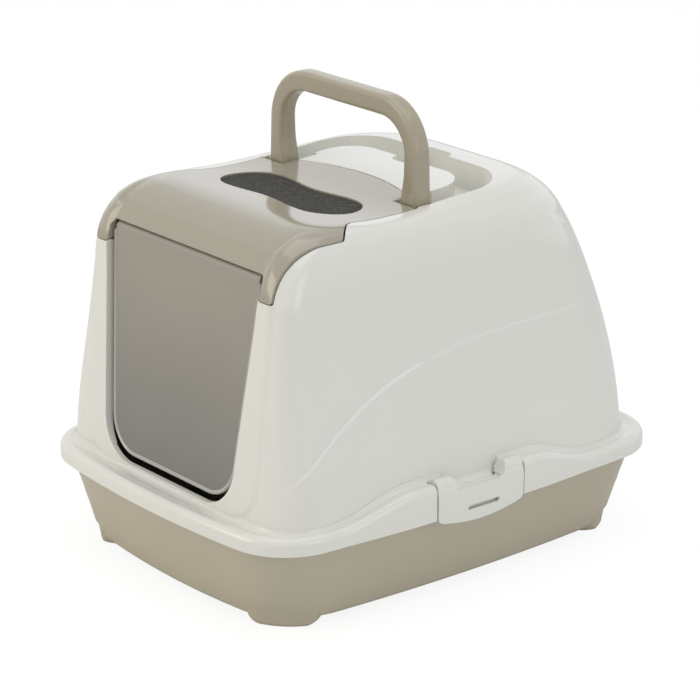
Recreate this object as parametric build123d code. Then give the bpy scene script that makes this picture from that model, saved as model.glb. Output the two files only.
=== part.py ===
from build123d import *

import os

# Covered litter box: a tray, a clip-on hood, a lift-up flap that carries a swing door and a
# carbon filter, a fold-back carrying handle and two side clips.
# Millimetres. +Z is up, the door faces -Y, the origin is on the floor under the middle.

# Overall
length = 502.0  # over the hood's rim, front to back
width = 392.0  # over the hood's rim, side to side
wall = 2.5  # moulded wall of hood and flap
gap = 1.0  # gap round the flap and the clips
pin_clearance = 0.06  # radial, every moulded pin in its hole

# Rim of the hood: a bowed, round-cornered band that caps the tray's lip
rim_low = 85.5
rim_top = 102.5
rim_side_bow = 10.4
rim_end_bow = 14.6
rim_corner_radius = 56.0
rim_skirt = 2.6
rim_plate = 3.0
rim_round = 7.0
rim_bead = 12.0
rim_trough = 1.2

# Tray
tray_floor = 7.5  # underside of the floor, carried by the feet
tray_wall = 2.8
tray_top = 99.3
tray_inset = 16.5  # wall inside the rim at the top
tray_draft = 14.0  # how much further the wall stands in at the floor
tray_corner_radius = 48.0
tray_floor_corner_radius = 62.0
tray_edge_round = 7.0
lip_clearance = 1.2  # between the tray's lip and the hood's skirt
lip_low = 87.0
lip_wall = 2.6
lip_round = 5.0
foot_radius = 25.0
foot_round = 5.0
foot_x = 118.0
foot_y = 172.0

# Hood sections: height, half width, front, back, front corner radius, back corner radius
hood_sections = [
    (99.0, 180.6, -222.2, 232.0, 45.0, 80.0),
    (150.0, 173.0, -217.0, 230.0, 35.0, 79.0),
    (210.0, 162.2, -210.5, 222.5, 28.0, 80.0),
    (250.0, 155.8, -206.0, 213.0, 24.0, 82.0),
    (280.0, 152.4, -202.7, 203.0, 22.0, 85.0),
    (306.0, 149.8, -200.2, 192.0, 21.0, 88.0),
    (320.0, 147.3, -197.1, 184.5, 23.0, 88.0),
    (334.0, 144.0, -190.2, 176.5, 26.0, 88.0),
    (346.0, 137.5, -179.5, 165.0, 29.0, 85.0),
    (355.0, 127.5, -164.0, 151.5, 30.0, 80.0),
    (361.0, 115.0, -147.0, 137.0, 29.0, 74.0),
    (366.0, 98.0, -122.0, 115.0, 26.0, 66.0),
]
hood_levels = [100, 150, 190, 230, 265, 290, 306, 313, 320, 327, 334, 340, 346, 351, 355, 358.5, 361, 363.5, 366]
roof_line = [  # the roof's height beside the plateau, front to back
    (-250.0, 352.0),
    (-175.0, 358.4),
    (-140.0, 358.9),
    (-105.0, 356.2),
    (-70.0, 353.6),
    (-35.0, 353.8),
    (-6.0, 355.4),
    (45.0, 359.2),
    (80.0, 361.4),
    (120.0, 363.6),
    (150.0, 363.4),
    (250.0, 356.0),
]
plateau_half_width = 131.0
plateau_back = 133.0
plateau_corner_radius = 46.0
plateau_rise = 1.6

# Doorway, and the raised surround that runs on into the flap's rails
doorway_half_width = 116.5  # where the flap's legs begin
doorway_taper = 0.098  # half width lost per millimetre going down
doorway_low = 105.0
doorway_corner_radius = 42.0
jamb_depth = 9.0
jamb_wall = 2.2
surround_half_width = 134.0
surround_corner_radius = 40.0
surround_rise = 2.4
surround_seam = 1.0  # where the surround begins, above the rim

# Flap: the lift-up lid over the front of the roof
leg_low = 306.5
visor_low = 327.5
visor_half_width = 107.0
visor_corner_z = 316.0
flap_step_y = -121.0
flap_step_run = 17.0
flap_side_half_width = 114.0
flap_heel_y = -22.2  # rear edge beside the handle's feet, clear of the groove's wall as it swings
tongue_half_width = 77.0
tongue_y = -1.0
tongue_bow = 14.5
tongue_gap = 1.4
rail_end_y = -140.0
flap_pivot_y = -38.0
flap_pivot_z = 350.2
flap_pin_radius = 2.5
flap_pin_reach = 5.0
flap_skirt_wall = 2.4
flap_skirt_depth = 11.0
flap_bracket_width = 6.5

# Filter behind a peanut-shaped window in the flap
window_half_length = 90.0
window_lobe_radius = 31.0
window_waist = 47.0
window_round = 24.0
window_y = -76.0
pad_overlap = 5.0
pad_thickness = 7.0
pad_recess = 1.0
filter_clearance = 0.4
cover_wall = 2.0
cover_slots = 11
cover_slot_width = 6.0
cover_slot_pitch = 14.0

# Door
door_recess = 3.4  # door face behind the line of the front wall
door_thickness = 2.4
door_side_gap = 4.5
door_low = 110.5
door_corner_radius = 38.0
door_border = 4.5
door_border_depth = 5.0
door_pivot_z = 320.0
door_pivot_behind = 5.9  # pivot behind the door's face
door_knuckle_radius = 4.5
door_knuckle_half_width = 105.0
door_shoulder_z = 308.0  # the door narrows above this, to pass the visor's corners
door_pin_radius = 2.5
leg_return_wall = 2.5
leg_return_depth = 13.0

# Carrying handle
handle_half_width = 105.5
handle_top = 453.0
handle_grip_height = 21.0
handle_leg = 17.0
handle_foot = 21.0
handle_flare_z = 376.0
handle_corner_radius = 56.0
handle_inner_radius = 42.0
handle_foot_depth = 22.0
handle_grip_depth = 19.0
handle_y = -6.0
handle_pivot_y = -5.0
handle_pivot_z = 350.0
handle_pin_radius = 4.0
handle_pin_reach = 4.0

# Groove in the roof for the folded handle, round a raised island
groove_floor = 337.5
groove_half_width = 114.0
groove_back = 101.0
groove_corner_radius = 50.0
island_half_width = 87.3
island_back = 70.5
island_corner_radius = 36.0
pocket_front = -18.1
pocket_back = 22.0
pocket_inner = 82.0
handle_boss_front = -13.0
handle_boss_back = 4.5
handle_boss_gap = 0.8
handle_boss_top = 355.5
notch_half_width = 19.0
notch_front = 60.0
notch_back = 110.0

# Side clips, and the housings on the rim beside them
clip_y = -8.5
clip_half_length = 52.0
clip_ear = 17.0
clip_dip = 110.5
clip_end_low = 84.0
clip_middle_low = 76.0
clip_wall = 2.8
clip_face = 198.0
clip_foot_face = 196.6
clip_hook_reach = 186.8
clip_hook_z = 83.2
clip_hook_height = 3.0
clip_slot_length = 38.0
clip_slot_height = 4.2
clip_slot_z = 90.0
clip_pivot_x = 189.0
clip_pivot_z = 116.5
clip_barrel_radius = 7.0
clip_pin_radius = 2.2
clip_pin_reach = 5.0
housing_top = 121.5
housing_front = -125.0
housing_back = 116.0
housing_flat = 14.0
clip_pocket_x = 192.9

reach = 600.0  # longer than anything here, for cuts that run right through
tall = 480.0


def rim_face(z, inset=0.0, radius=rim_corner_radius):
    """The bowed, round-cornered outline of rim and tray, as a face at height z."""
    x = width / 2 - rim_side_bow - inset
    y = length / 2 - rim_end_bow - inset
    with BuildSketch(Plane.XY.offset(z)) as sketch:
        with BuildLine():
            ThreePointArc((x, -y), (x + rim_side_bow, 0), (x, y))
            ThreePointArc((x, y), (0, y + rim_end_bow), (-x, y))
            ThreePointArc((-x, y), (-x - rim_side_bow, 0), (-x, -y))
            ThreePointArc((-x, -y), (0, -y - rim_end_bow), (x, -y))
        make_face()
        fillet(sketch.vertices(), radius)
    return sketch.sketch


def hood_face(z, half_width, front, back, front_radius, back_radius):
    """A round-cornered rectangle whose front and back corners differ, as a face at height z."""
    with BuildSketch(Plane.XY.offset(z)) as sketch:
        with BuildLine():
            Polyline(
                (-half_width, front),
                (half_width, front),
                (half_width, back),
                (-half_width, back),
                close=True,
            )
        make_face()
        fillet(sketch.vertices().sort_by(Axis.Y)[:2], front_radius)
        fillet(sketch.vertices().sort_by(Axis.Y)[-2:], back_radius)
    return sketch.sketch


def side_view(points, x_low, x_high):
    """An outline in the side view (y, z) that fills x_low to x_high."""
    with BuildSketch(Plane.YZ.offset(x_low)) as sketch:
        with BuildLine():
            Polyline(*points, close=True)
        make_face()
    return extrude(sketch.sketch, x_high - x_low)


def front_view(points, y_low, y_high, rounded=(), radius=0.0):
    """An outline in the front view (x, z) that fills y_low to y_high; some corners rounded."""
    with BuildSketch(Plane.XZ.offset(-y_low)) as sketch:
        with BuildLine():
            Polyline(*points, close=True)
        make_face()
        corners = [v for v in sketch.vertices() if any((v.X - x) ** 2 + (v.Y - z) ** 2 < 1 for x, z in rounded)]
        if corners:
            fillet(corners, radius)
    return extrude(sketch.sketch, -(y_high - y_low))


def block(x_low, x_high, y_low, y_high, z_low, z_high):
    size = (x_high - x_low, y_high - y_low, z_high - z_low)
    middle = ((x_low + x_high) / 2, (y_low + y_high) / 2, (z_low + z_high) / 2)
    return Pos(*middle) * Box(*size)


def rod_x(x_low, x_high, y, z, radius):
    return Pos((x_low + x_high) / 2, y, z) * Rot(0, 90, 0) * Cylinder(radius, x_high - x_low)


def rod_y(y_low, y_high, x, z, radius):
    return Pos(x, (y_low + y_high) / 2, z) * Rot(90, 0, 0) * Cylinder(radius, y_high - y_low)


def both_sides(shape):
    return shape + mirror(shape, Plane.YZ)


def hood_section(z):
    """The hood's section at height z, smoothly between the measured ones."""
    heights = [row[0] for row in hood_sections]
    i = max(k for k in range(len(heights) - 1) if heights[k] <= z)
    h = heights[i + 1] - heights[i]
    t = (z - heights[i]) / h
    values = []
    for column in range(1, 6):
        v = [row[column] for row in hood_sections]

        def slope(k):
            low = max(k - 1, 0)
            high = min(k + 1, len(v) - 1)
            return (v[high] - v[low]) / (heights[high] - heights[low])

        start = (2 * t**3 - 3 * t**2 + 1) * v[i] + (t**3 - 2 * t**2 + t) * h * slope(i)
        values.append(start + (3 * t**2 - 2 * t**3) * v[i + 1] + (t**3 - t**2) * h * slope(i + 1))
    return values


def hood_body(inset):
    """The hood's outer form, shrunk by inset (grown where inset is negative)."""
    sections = []
    for z in hood_levels:
        w, f, b, rf, rb = hood_section(z)
        sections.append(hood_face(z - inset, w - inset, f + inset, b - inset, rf - inset / 2, rb - inset))
    body = loft(Sketch() + sections, ruled=True)
    line = [(y, z - inset) for y, z in roof_line]
    with BuildSketch(Plane.YZ.offset(-width / 2 - 10)) as side:
        with BuildLine():
            Spline(*line)
            Polyline(line[-1], (line[-1][0], tall), (line[0][0], tall), line[0])
        make_face()
    return body - extrude(side.sketch, width + 20)


def front_line(z):
    """The front wall's straight line, carried on upwards behind the flap."""
    (z0, _, y0, *_), (z1, _, y1, *_) = hood_sections[0], hood_sections[5]
    return y0 + (y1 - y0) * (z - z0) / (z1 - z0)


def doorway_x(z):
    return doorway_half_width - doorway_taper * (leg_low - z)


def doorway(grow, low, high, y_low, y_high):
    """The doorway's outline, grown all round."""
    left_low = (-doorway_x(low) - grow, low - grow)
    right_low = (doorway_x(low) + grow, low - grow)
    points = [left_low, right_low, (doorway_x(high) + grow, high), (-doorway_x(high) - grow, high)]
    return front_view(points, y_low, y_high, [left_low, right_low], doorway_corner_radius + grow)


def flap_space(grow):
    """The room of the flap in the roof, grown all round."""
    wide = surround_half_width + grow
    narrow = flap_side_half_width + grow
    back = flap_step_y + flap_step_run
    heel = flap_heel_y + grow
    tongue = tongue_half_width + grow
    right = [(wide, -reach), (wide, flap_step_y + grow), (narrow + 3, back + grow)]
    right += [(narrow, back + 7 + grow), (narrow, heel), (tongue, heel), (tongue, tongue_y)]
    bow = tongue_y + tongue_bow + (tongue_gap if grow else 0)
    with BuildSketch(Plane.XY.offset(250)) as plan:
        with BuildLine():
            Polyline(*right)
            ThreePointArc((tongue, tongue_y), (0, bow), (-tongue, tongue_y))
            Polyline(*[(-x, y) for x, y in reversed(right)])
            Line((-wide, -reach), (wide, -reach))
        make_face()
    low = leg_low - grow
    visor = visor_low - grow
    side = [(wide, low), (wide, tall), (0, tall)]
    inner = [(doorway_half_width, low), (doorway_half_width, visor_corner_z), (visor_half_width, visor), (0, visor)]
    right = inner[::-1] + side
    points = right + [(-x, z) for x, z in reversed(right[1:-1])]
    return extrude(plan.sketch, tall - 250) & front_view(points, -reach / 2, reach / 2)


def peanut(grow, z_low, z_high):
    """The filter window's outline, grown all round, as a prism."""
    lobe_x = window_half_length - window_lobe_radius
    with BuildSketch(Plane.XY.offset(z_low)) as sketch:
        with Locations((-lobe_x, window_y), (lobe_x, window_y)):
            Circle(window_lobe_radius + grow)
        with Locations((0, window_y)):
            Rectangle(2 * lobe_x, window_waist + 2 * grow)
        waist = [v for v in sketch.vertices() if abs(abs(v.Y - window_y) - window_waist / 2 - grow) < 0.5]
        fillet(waist, window_round)
    return extrude(sketch.sketch, z_high - z_low)


def round_back(half_width, back, radius, front, z_low, z_high):
    """A D-shaped prism: straight front, round back corners."""
    with BuildSketch(Plane.XY.offset(z_low)) as sketch:
        with BuildLine():
            Polyline(
                (-half_width, front),
                (half_width, front),
                (half_width, back),
                (-half_width, back),
                close=True,
            )
        make_face()
        fillet(sketch.vertices().sort_by(Axis.Y)[-2:], radius)
    return extrude(sketch.sketch, z_high - z_low)


def groove_room(grow, floor):
    """Room for the folded handle, grown into wall and floor."""
    room = round_back(
        groove_half_width + grow, groove_back + grow, groove_corner_radius + grow, pocket_front - grow, floor, tall
    )
    island = round_back(
        island_half_width - grow, island_back - grow, island_corner_radius - grow, pocket_back + grow, floor, tall
    )
    middle = block(-pocket_inner + grow, pocket_inner - grow, -reach, pocket_back + grow + 1, floor, tall)
    return room - island - middle


# Shared forms of hood and flap
body = hood_body(0)
inside = hood_body(wall)
raised = hood_body(-plateau_rise) & round_back(
    plateau_half_width, plateau_back, plateau_corner_radius, -reach / 2, leg_low, tall
)
skin = body + raised
proud = hood_body(-surround_rise)
shell = skin - inside
print("forms ready")

# Tray
lip_inset = rim_skirt + lip_clearance
tray_outer = loft(
    Sketch()
    + [
        rim_face(tray_floor, tray_inset + tray_draft, tray_floor_corner_radius),
        rim_face(tray_top, tray_inset, tray_corner_radius),
    ]
)
tray_outer = fillet(tray_outer.faces().sort_by(Axis.Z)[0].edges(), tray_edge_round)
feet = Part() + [
    Pos(x, y, 0) * fillet(
        Cylinder(foot_radius, tray_floor + 4, align=(Align.CENTER, Align.CENTER, Align.MIN)).edges().group_by(Axis.Z)[0],
        foot_round,
    )
    for x in (-foot_x, foot_x)
    for y in (-foot_y, foot_y)
]
foot_hollows = Part() + [
    Pos(x, y, tray_wall) * Cylinder(
        foot_radius - tray_wall, tray_floor + 4, align=(Align.CENTER, Align.CENTER, Align.MIN)
    )
    for x in (-foot_x, foot_x)
    for y in (-foot_y, foot_y)
]
tray_inner = loft(
    Sketch()
    + [
        rim_face(tray_floor + tray_wall, tray_inset + tray_draft + tray_wall, tray_floor_corner_radius - tray_wall),
        rim_face(tray_top + 0.01, tray_inset + tray_wall, tray_corner_radius - tray_wall),
    ]
)
tray_inner = fillet(tray_inner.faces().sort_by(Axis.Z)[0].edges(), tray_edge_round - tray_wall)
lip = extrude(rim_face(lip_low, lip_inset), tray_top - lip_low)
lip = fillet(lip.faces().sort_by(Axis.Z)[-1].edges(), lip_round)
lip_under = extrude(rim_face(lip_low - 1, lip_inset + lip_wall), tray_top - lip_low + 1 - lip_wall)
lip = lip - (lip_under - tray_outer)
tray = tray_outer + feet + lip - tray_inner - foot_hollows
print("tray", tray.is_valid, round(tray.volume), len(tray.solids()))

# Hood: rim
rim = extrude(rim_face(rim_low), rim_top - rim_low)
rim = fillet(rim.faces().sort_by(Axis.Z)[-1].edges(), rim_round)
rim_under = extrude(rim_face(rim_low - 1, rim_skirt), rim_top - rim_plate - rim_low + 1)
rim_under = fillet(rim_under.faces().sort_by(Axis.Z)[-1].edges(), rim_round - rim_skirt)
trough = extrude(rim_face(rim_top - rim_trough, rim_bead), 20)
rim = rim - rim_under - (trough - body)
print("rim", rim.is_valid)

# Hood: housings for the clips' pins
ramps = []
for end, sign in ((housing_front, -1), (housing_back, 1)):
    near = clip_y + sign * (clip_half_length + gap)
    flat = near + sign * housing_flat
    ramps.append([(near, rim_top - 2), (near, housing_top), (flat, housing_top - 1.5), (end, rim_top), (end, rim_top - 2)])
housing_form = extrude(rim_face(rim_top - 2, 2.2), housing_top + 5 - rim_top)
housing = Part() + [housing_form & side_view(points, 150, 250) for points in ramps]
housing = both_sides(housing)
clip_front = clip_y - clip_half_length - gap
clip_back = clip_y + clip_half_length + gap
clip_room = both_sides(block(clip_pocket_x, 230, clip_front, clip_back, 60, 130))
clip_holes = both_sides(
    rod_y(
        clip_front + gap - clip_pin_reach - 1.0,
        clip_back - gap + clip_pin_reach + 1.0,
        clip_pivot_x,
        clip_pivot_z,
        clip_pin_radius + pin_clearance,
    )
)

# Hood: jamb and surround of the doorway
jamb = doorway(jamb_wall, doorway_low, leg_low - gap, -260, -150) & (body - hood_body(jamb_depth))
low_left = (-surround_half_width, rim_top - 1)
low_right = (surround_half_width, rim_top - 1)
surround_space = front_view(
    [low_left, low_right, (surround_half_width, leg_low - gap), (-surround_half_width, leg_low - gap)],
    -260,
    -150,
    [low_left, low_right],
    surround_corner_radius,
)
surround = (proud & surround_space) - inside

# Hood: brackets under the roof for the flap's pins, bosses in the groove for the handle's pins
bracket_x = flap_side_half_width + gap
flap_bracket = body & block(
    bracket_x,
    bracket_x + flap_bracket_width,
    flap_pivot_y - 7,
    flap_pivot_y + 7,
    flap_pivot_z - 7,
    tall,
)
boss_x = handle_half_width + handle_boss_gap
handle_boss = block(
    boss_x, groove_half_width + 1, handle_boss_front, handle_boss_back, groove_floor - 1, handle_boss_top
)

hood = shell + rim - inside
hood = hood + (housing - inside)
hood = hood + jamb + surround
hood = hood - flap_space(gap)
hood = hood - doorway(0, doorway_low, visor_low + 5, -300, -120)
hood = hood + (skin & groove_room(wall, groove_floor - wall))
hood = hood - groove_room(0, groove_floor)
hood = hood + both_sides(flap_bracket) + both_sides(handle_boss)
hood = hood - block(-notch_half_width, notch_half_width, notch_front, notch_back, groove_floor, tall)
notch_wall = skin & (
    block(-notch_half_width - wall, notch_half_width + wall, notch_front - wall, notch_back + wall, groove_floor - wall, tall)
    - block(-notch_half_width, notch_half_width, notch_front, notch_back, groove_floor, tall)
)
hood = hood + (notch_wall - groove_room(0, groove_floor))
hood = hood - clip_room - clip_holes
hood = hood - both_sides(
    rod_x(bracket_x - 3, bracket_x + flap_pin_reach + 1.0, flap_pivot_y, flap_pivot_z, flap_pin_radius + pin_clearance)
)
hood = hood - both_sides(
    rod_x(boss_x - 3, boss_x + handle_pin_reach + 1.0, handle_pivot_y, handle_pivot_z, handle_pin_radius + pin_clearance)
)

# The doorway's surround is a solid of its own that meets the hood face to face, so that the
# doorway stays open right into its round corners
surround_room = block(
    -surround_half_width, surround_half_width, -reach / 2, -150, rim_top + surround_seam, visor_low
)
doorway_surround = hood & surround_room
hood = hood - surround_room
print("hood", hood.is_valid, round(hood.volume), len(hood.solids()))
print("surround", doorway_surround.is_valid, round(doorway_surround.volume), len(doorway_surround.solids()))

# Flap
door_pivot_y = front_line(door_pivot_z) + door_recess + door_pivot_behind
space = flap_space(0)
flap = shell & space
rails = (proud - inside) & space
rails = rails & both_sides(block(doorway_half_width, surround_half_width, -300, rail_end_y, leg_low, tall))
returns = (body - hood_body(leg_return_depth)) & both_sides(
    block(doorway_half_width, doorway_half_width + leg_return_wall, -300, -165, leg_low + 1.5, 345)
)
skirts = (skin - hood_body(flap_skirt_depth)) & both_sides(
    block(flap_side_half_width - flap_skirt_wall, flap_side_half_width, -70, flap_heel_y - 0.5, 300, tall)
)
flap = flap + rails + returns + skirts
flap = flap - peanut(0, 300, tall)
flap = flap + both_sides(
    rod_x(flap_side_half_width - 1, flap_side_half_width + flap_pin_reach, flap_pivot_y, flap_pivot_z, flap_pin_radius)
)
flap = flap - both_sides(
    rod_x(
        doorway_half_width - 4,
        doorway_half_width + leg_return_wall + 1,
        door_pivot_y,
        door_pivot_z,
        door_pin_radius + pin_clearance,
    )
)
print("flap", flap.is_valid, round(flap.volume), len(flap.solids()))

# Filter pad and the cover that holds it under the flap
pad = (hood_body(wall + 0.2) - hood_body(wall + pad_thickness)) & peanut(pad_overlap, 300, tall)
plug = (hood_body(pad_recess - plateau_rise) - hood_body(wall + 1)) & peanut(-filter_clearance, 300, tall)
filter_pad = pad + plug
cover_inset = wall + pad_thickness + filter_clearance
cover_out = pad_overlap + filter_clearance + cover_wall
cover_form = peanut(cover_out, 300, tall)
cover_body = hood_body(wall)
cover = (cover_body - hood_body(cover_inset + cover_wall)) & cover_form
cover = cover - (peanut(pad_overlap + filter_clearance, 300, tall) & (hood_body(0) - hood_body(cover_inset)))
first = -(cover_slots - 1) / 2 * cover_slot_pitch
slots = Part() + [
    block(
        first + i * cover_slot_pitch - cover_slot_width / 2,
        first + i * cover_slot_pitch + cover_slot_width / 2,
        window_y - 17,
        window_y + 17,
        300,
        tall,
    )
    for i in range(cover_slots)
]
filter_cover = cover - slots
print("filter", filter_pad.is_valid, filter_cover.is_valid, len(filter_pad.solids()), len(filter_cover.solids()))


# Door
def door_slab(front, back):
    """A slab in the side view that follows the lean of the front wall."""
    high = door_pivot_z
    low = door_low - 20
    return side_view(
        [
            (front_line(low) + front, low),
            (front_line(low) + back, low),
            (front_line(high) + back, high),
            (front_line(high) + front, high),
        ],
        -200,
        200,
    )


def door_outline(inset):
    low = door_low + inset
    x_low = doorway_x(low) - door_side_gap - inset
    x_high = doorway_x(door_shoulder_z) - door_side_gap - inset
    x_top = door_knuckle_half_width - inset
    corners = [(-x_low, low), (x_low, low)]
    top = [(x_high, door_shoulder_z), (x_top, door_pivot_z), (-x_top, door_pivot_z), (-x_high, door_shoulder_z)]
    return front_view(corners + top, -260, -150, corners, door_corner_radius - inset)


pane = door_outline(0) & door_slab(door_recess, door_recess + door_thickness)
border = (door_outline(0) - door_outline(door_border)) & door_slab(door_recess - 0.8, door_recess + door_border_depth)
knuckle = rod_x(
    -door_knuckle_half_width, door_knuckle_half_width, door_pivot_y, door_pivot_z, door_knuckle_radius
)
knuckle = knuckle + block(
    -door_knuckle_half_width,
    door_knuckle_half_width,
    door_pivot_y - door_pivot_behind,
    door_pivot_y,
    door_pivot_z - 4.5,
    door_pivot_z,
)
door_pins = both_sides(
    rod_x(
        door_knuckle_half_width - 1,
        doorway_half_width + leg_return_wall - 0.3,
        door_pivot_y,
        door_pivot_z,
        door_pin_radius,
    )
)
door = pane + border + knuckle + door_pins
print("door", door.is_valid, round(door.volume), len(door.solids()))

# Handle
with BuildSketch(Plane.XZ.offset(60)) as front:
    with BuildLine():
        Polyline(
            (-handle_half_width, 330),
            (-handle_half_width, handle_top),
            (handle_half_width, handle_top),
            (handle_half_width, 330),
            close=True,
        )
    make_face()
    fillet([v for v in front.vertices() if v.Y > 400], handle_corner_radius)
handle_outer = extrude(front.sketch, -120)
inner_x = handle_half_width - handle_leg
foot_x_inner = handle_half_width - handle_foot
under = handle_top - handle_grip_height
with BuildSketch(Plane.XZ.offset(60)) as front:
    with BuildLine():
        Polyline(
            (-foot_x_inner, 320),
            (-foot_x_inner, 359),
            (-inner_x, handle_flare_z),
            (-inner_x, under),
            (inner_x, under),
            (inner_x, handle_flare_z),
            (foot_x_inner, 359),
            (foot_x_inner, 320),
            close=True,
        )
    make_face()
    fillet([v for v in front.vertices() if v.Y > 400], handle_inner_radius)
handle_inner = extrude(front.sketch, -120)
half_foot = handle_foot_depth / 2
half_grip = handle_grip_depth / 2
side = side_view(
    [
        (handle_y - half_foot, handle_pivot_z),
        (handle_y + half_foot, handle_pivot_z),
        (handle_y + half_grip, 400),
        (handle_y + half_grip, handle_top + 1),
        (handle_y - half_grip, handle_top + 1),
        (handle_y - half_grip, 400),
    ],
    -200,
    200,
)
toe = rod_x(-200, 200, handle_y, handle_pivot_z, half_foot)
handle = (handle_outer - handle_inner) & (side + toe)
handle = handle + both_sides(
    rod_x(handle_half_width - 1, handle_half_width + handle_pin_reach, handle_pivot_y, handle_pivot_z, handle_pin_radius)
)
print("handle", handle.is_valid, round(handle.volume), len(handle.solids()))


# Side clips
def clip_plate(x_out, thickness):
    """The clip's bent plate, seen along its length, from the barrel down to the lower edge."""
    inner = x_out - thickness
    foot = clip_foot_face - thickness
    with BuildSketch(Plane.XZ.offset(200)) as sketch:
        with BuildLine():
            Polyline(
                (clip_foot_face, 70),
                (x_out, 96),
                (x_out, clip_pivot_z - 4),
                (clip_pivot_x + 2, clip_pivot_z + clip_barrel_radius - 0.5),
                (clip_pivot_x + 2, clip_pivot_z + clip_barrel_radius - thickness),
                (inner, clip_pivot_z - 6),
                (inner, 96),
                (foot, 70),
                close=True,
            )
        make_face()
        fillet([v for v in sketch.vertices() if abs(v.Y - clip_pivot_z + 4) < 0.1], 7.0)
    return extrude(sketch.sketch, -400)


near = clip_y - clip_half_length
far = clip_y + clip_half_length
with BuildSketch(Plane.YZ.offset(150)) as outline:
    with BuildLine():
        Polyline(
            (near, clip_end_low),
            (near, 130),
            (near + clip_ear, 130),
            (near + clip_ear + 8, clip_dip),
            (far - clip_ear - 8, clip_dip),
            (far - clip_ear, 130),
            (far, 130),
            (far, clip_end_low),
        )
        ThreePointArc((far, clip_end_low), (clip_y, clip_middle_low), (near, clip_end_low))
    make_face()
    fillet([v for v in outline.vertices() if abs(v.Y - clip_end_low) < 0.1], 5.0)
clip_side = extrude(outline.sketch, 100)
barrels = [
    rod_y(near, near + clip_ear, clip_pivot_x, clip_pivot_z, clip_barrel_radius),
    rod_y(far - clip_ear, far, clip_pivot_x, clip_pivot_z, clip_barrel_radius),
    rod_y(near - clip_pin_reach, near + 1, clip_pivot_x, clip_pivot_z, clip_pin_radius),
    rod_y(far - 1, far + clip_pin_reach, clip_pivot_x, clip_pivot_z, clip_pin_radius),
]
hook = block(clip_hook_reach, clip_face - 1.5, near + 8, far - 8, clip_hook_z - clip_hook_height, clip_hook_z)
slot_y = clip_y + 3.0
finger_slot = block(
    185,
    220,
    slot_y - clip_slot_length / 2,
    slot_y + clip_slot_length / 2,
    clip_slot_z - clip_slot_height / 2,
    clip_slot_z + clip_slot_height / 2,
)
clip_right = (clip_plate(clip_face, clip_wall) & clip_side) + barrels + hook - finger_slot
clip_left = mirror(clip_right, Plane.YZ)
print("clip", clip_right.is_valid, round(clip_right.volume), len(clip_right.solids()))

pieces = {
    "tray": tray,
    "hood": hood,
    "doorway_surround": doorway_surround,
    "top_flap": flap,
    "door": door,
    "handle": handle,
    "clip_right": clip_right,
    "clip_left": clip_left,
    "filter_pad": filter_pad,
    "filter_cover": filter_cover,
}
os.makedirs("parts", exist_ok=True)
for name, piece in pieces.items():
    export_step(piece, "parts/" + name + ".step")
    size = piece.bounding_box()
    print(name, [round(v, 1) for v in (*size.min, *size.max)], len(piece.solids()))
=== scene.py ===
"""Looks of the covered litter box: moulded shells, soft rounds, glossy plastics, carbon foam."""

import math

import bmesh
import bpy
import numpy as np
from mathutils import Matrix, Vector


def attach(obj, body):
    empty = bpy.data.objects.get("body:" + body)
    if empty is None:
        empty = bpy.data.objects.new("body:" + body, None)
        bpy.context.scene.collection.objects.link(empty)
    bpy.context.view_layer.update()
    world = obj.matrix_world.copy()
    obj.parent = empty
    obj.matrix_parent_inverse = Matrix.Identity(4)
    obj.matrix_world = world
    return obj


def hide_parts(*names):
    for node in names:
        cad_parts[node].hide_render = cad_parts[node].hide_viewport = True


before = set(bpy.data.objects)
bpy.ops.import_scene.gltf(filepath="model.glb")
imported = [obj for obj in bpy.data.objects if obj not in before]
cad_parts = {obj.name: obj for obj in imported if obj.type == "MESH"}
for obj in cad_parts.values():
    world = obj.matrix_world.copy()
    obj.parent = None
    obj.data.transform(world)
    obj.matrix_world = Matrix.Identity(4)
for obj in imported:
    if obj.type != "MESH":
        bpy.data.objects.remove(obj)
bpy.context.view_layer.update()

MM = 0.001

# Sizes in millimetres, as in the part's source
RIM_LENGTH = 501.4
RIM_WIDTH = 391.4
RIM_LOW = 85.5
RIM_TOP = 102.5
RIM_SIDE_BOW = 10.4
RIM_END_BOW = 14.6
RIM_CORNER = 56.0
RIM_ROUND = 7.0
WALL = 2.5
GAP = 1.0

HOOD_LOW = 100.0
HOOD_SECTIONS = np.array(
    [
        # height, half width, front, back, front corner, back corner
        (99.0, 180.6, -222.2, 232.0, 45.0, 80.0),
        (150.0, 173.0, -217.0, 230.0, 35.0, 79.0),
        (210.0, 162.2, -210.5, 222.5, 28.0, 80.0),
        (250.0, 155.8, -206.0, 213.0, 24.0, 82.0),
        (280.0, 152.4, -202.7, 203.0, 22.0, 85.0),
        (306.0, 149.8, -200.2, 192.0, 21.0, 88.0),
        (320.0, 147.3, -197.1, 184.5, 23.0, 88.0),
        (334.0, 144.0, -190.2, 176.5, 26.0, 88.0),
        (346.0, 137.5, -179.5, 165.0, 29.0, 85.0),
        (355.0, 127.5, -164.0, 151.5, 30.0, 80.0),
        (361.0, 115.0, -147.0, 137.0, 29.0, 74.0),
        (366.0, 98.0, -122.0, 115.0, 26.0, 66.0),
        (372.0, 60.0, -80.0, 75.0, 20.0, 50.0),
    ]
)
ROOF_LINE = np.array(
    [
        (-250.0, 352.0),
        (-175.0, 358.4),
        (-140.0, 358.9),
        (-105.0, 356.2),
        (-70.0, 353.6),
        (-35.0, 353.8),
        (-6.0, 355.4),
        (45.0, 359.2),
        (80.0, 361.4),
        (120.0, 363.6),
        (150.0, 363.4),
        (250.0, 356.0),
    ]
)
PLATEAU_RISE = 1.6
PLATEAU = (131.0, 133.0, 46.0)  # half width, back, corner
GROOVE = (114.0, 101.0, 50.0)
ISLAND = (87.3, 70.5, 36.0)
GROOVE_FLOOR = 337.5
POCKET_FRONT = -18.1
POCKET_BACK = 22.0
POCKET_INNER = 82.0
NOTCH = (19.0, 60.0, 110.0)  # half width, front, back

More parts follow.
